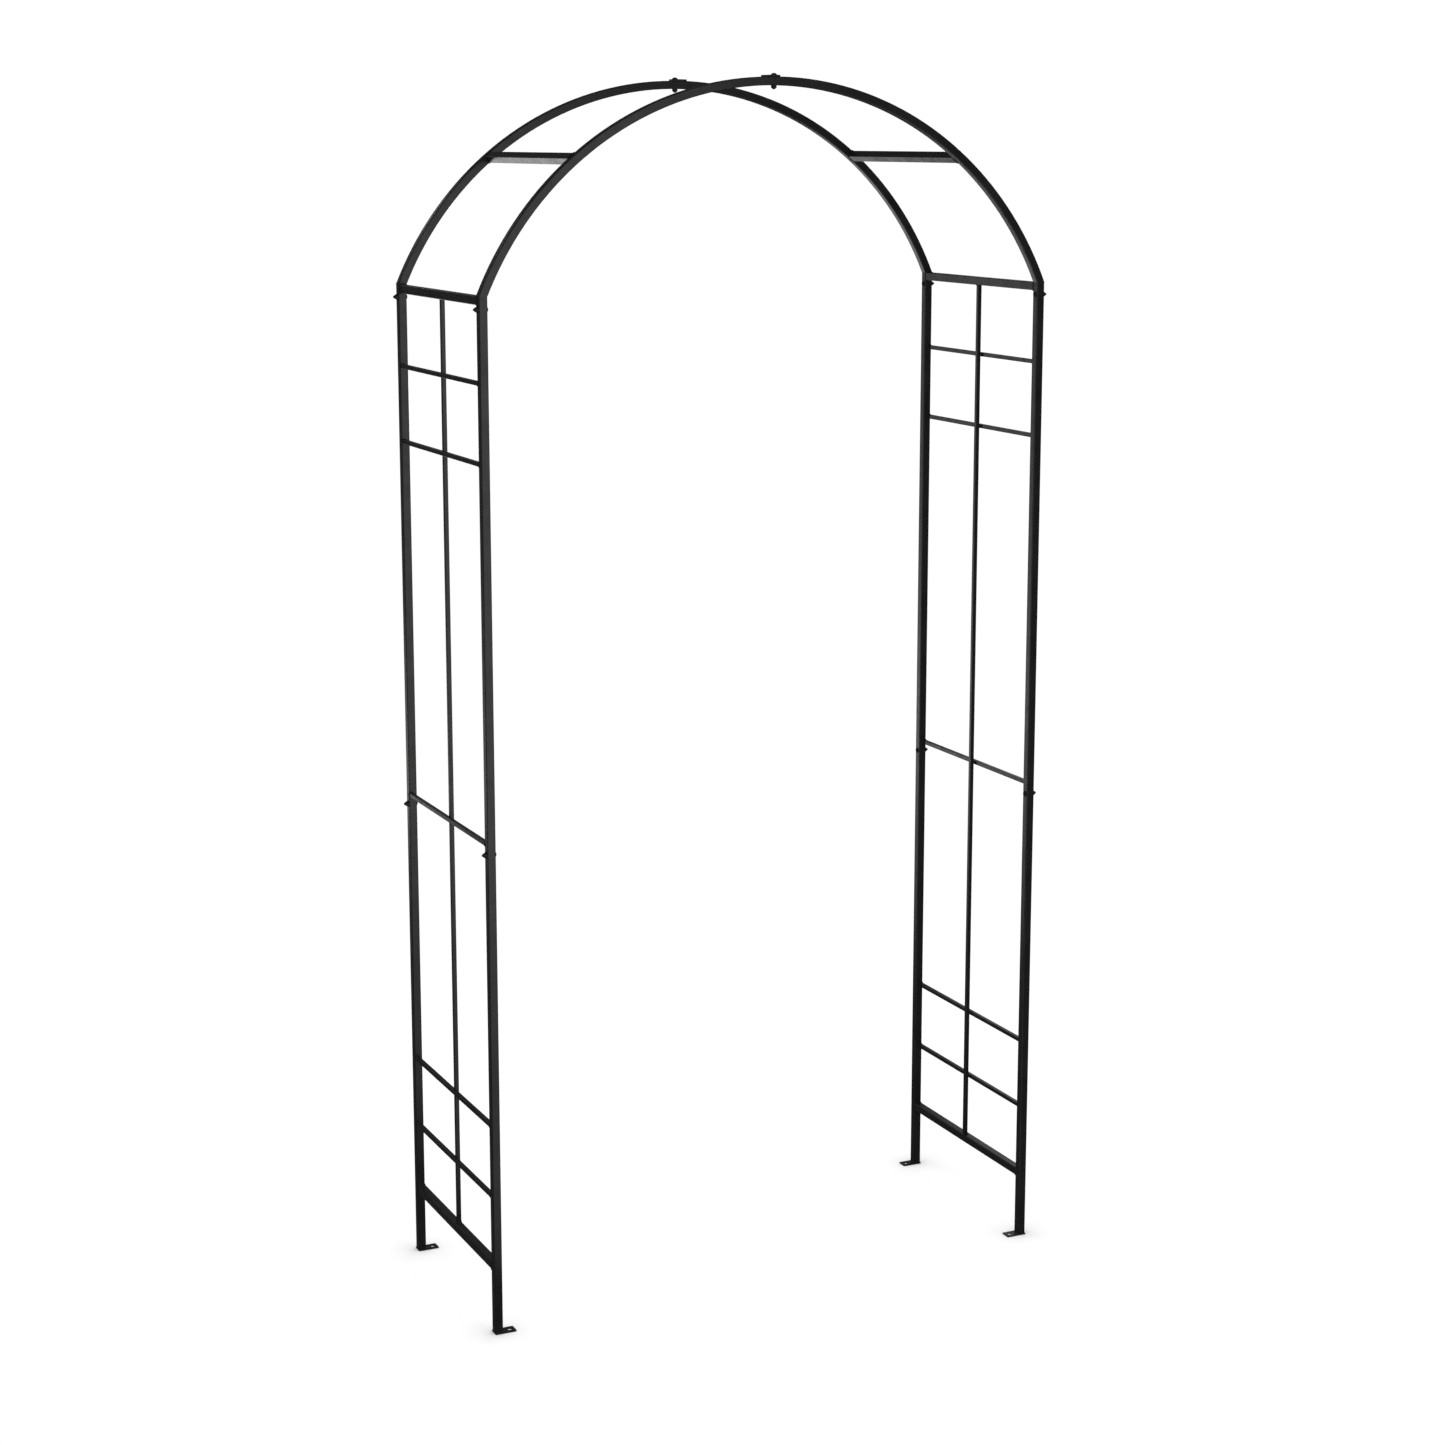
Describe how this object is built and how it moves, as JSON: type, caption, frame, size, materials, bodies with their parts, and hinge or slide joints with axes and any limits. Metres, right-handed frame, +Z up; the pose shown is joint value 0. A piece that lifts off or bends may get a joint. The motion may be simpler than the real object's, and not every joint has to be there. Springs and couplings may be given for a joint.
{
  "type": "garden trellis arch",
  "caption": "Walk-through garden arch of black square steel tube with trellis side panels of thin bars, a round bolted top with rungs, and drilled foot plates.",
  "frame": {"origin": "centre of the bounding box at ground level, midway between the four posts", "axes": "+X across the walkway towards the right-hand side panel, +Y through the walkway towards the back, +Z up"},
  "size_m": [1.181, 0.466, 2.3443],
  "materials": {
    "tubes": "satin black powder coat",
    "thin_bars": "satin black powder coat",
    "plates": "satin black powder coat",
    "spigots": "satin black powder coat, rubbed",
    "fasteners": "black coated steel"
  },
  "bodies": {
    "root": {"left_front_lower_post": "tubes", "left_back_lower_post": "tubes", "left_front_upper_post": "tubes", "left_back_upper_post": "tubes", "left_bottom_rail": "tubes", "left_low_bar_1": "thin_bars", "left_low_bar_2": "thin_bars", "left_middle_bar": "thin_bars", "left_high_bar_1": "thin_bars", "left_high_bar_2": "thin_bars", "left_top_rail": "tubes", "left_lower_rod": "thin_bars", "left_upper_rod": "thin_bars", "left_front_foot": "plates", "left_back_foot": "plates", "left_front_post_spigot": "spigots", "left_back_post_spigot": "spigots", "left_front_arch_spigot": "spigots", "left_back_arch_spigot": "spigots", "left_front_arch_tube": "tubes", "left_back_arch_tube": "tubes", "left_arch_rung": "tubes", "left_arch_tongue": "plates", "left_panel_bolts": "fasteners", "left_cap_nuts": "fasteners", "right_front_lower_post": "tubes", "right_back_lower_post": "tubes", "right_front_upper_post": "tubes", "right_back_upper_post": "tubes", "right_bottom_rail": "tubes", "right_low_bar_1": "thin_bars", "right_low_bar_2": "thin_bars", "right_middle_bar": "thin_bars", "right_high_bar_1": "thin_bars", "right_high_bar_2": "thin_bars", "right_top_rail": "tubes", "right_lower_rod": "thin_bars", "right_upper_rod": "thin_bars", "right_front_foot": "plates", "right_back_foot": "plates", "right_front_post_spigot": "spigots", "right_back_post_spigot": "spigots", "right_front_arch_spigot": "spigots", "right_back_arch_spigot": "spigots", "right_front_arch_tube": "tubes", "right_back_arch_tube": "tubes", "right_arch_rung": "tubes", "right_arch_tongue": "plates", "right_panel_bolts": "fasteners", "right_cap_nuts": "fasteners", "apex_bolts": "fasteners", "apex_nuts": "fasteners"}
  },
  "joints": []
}
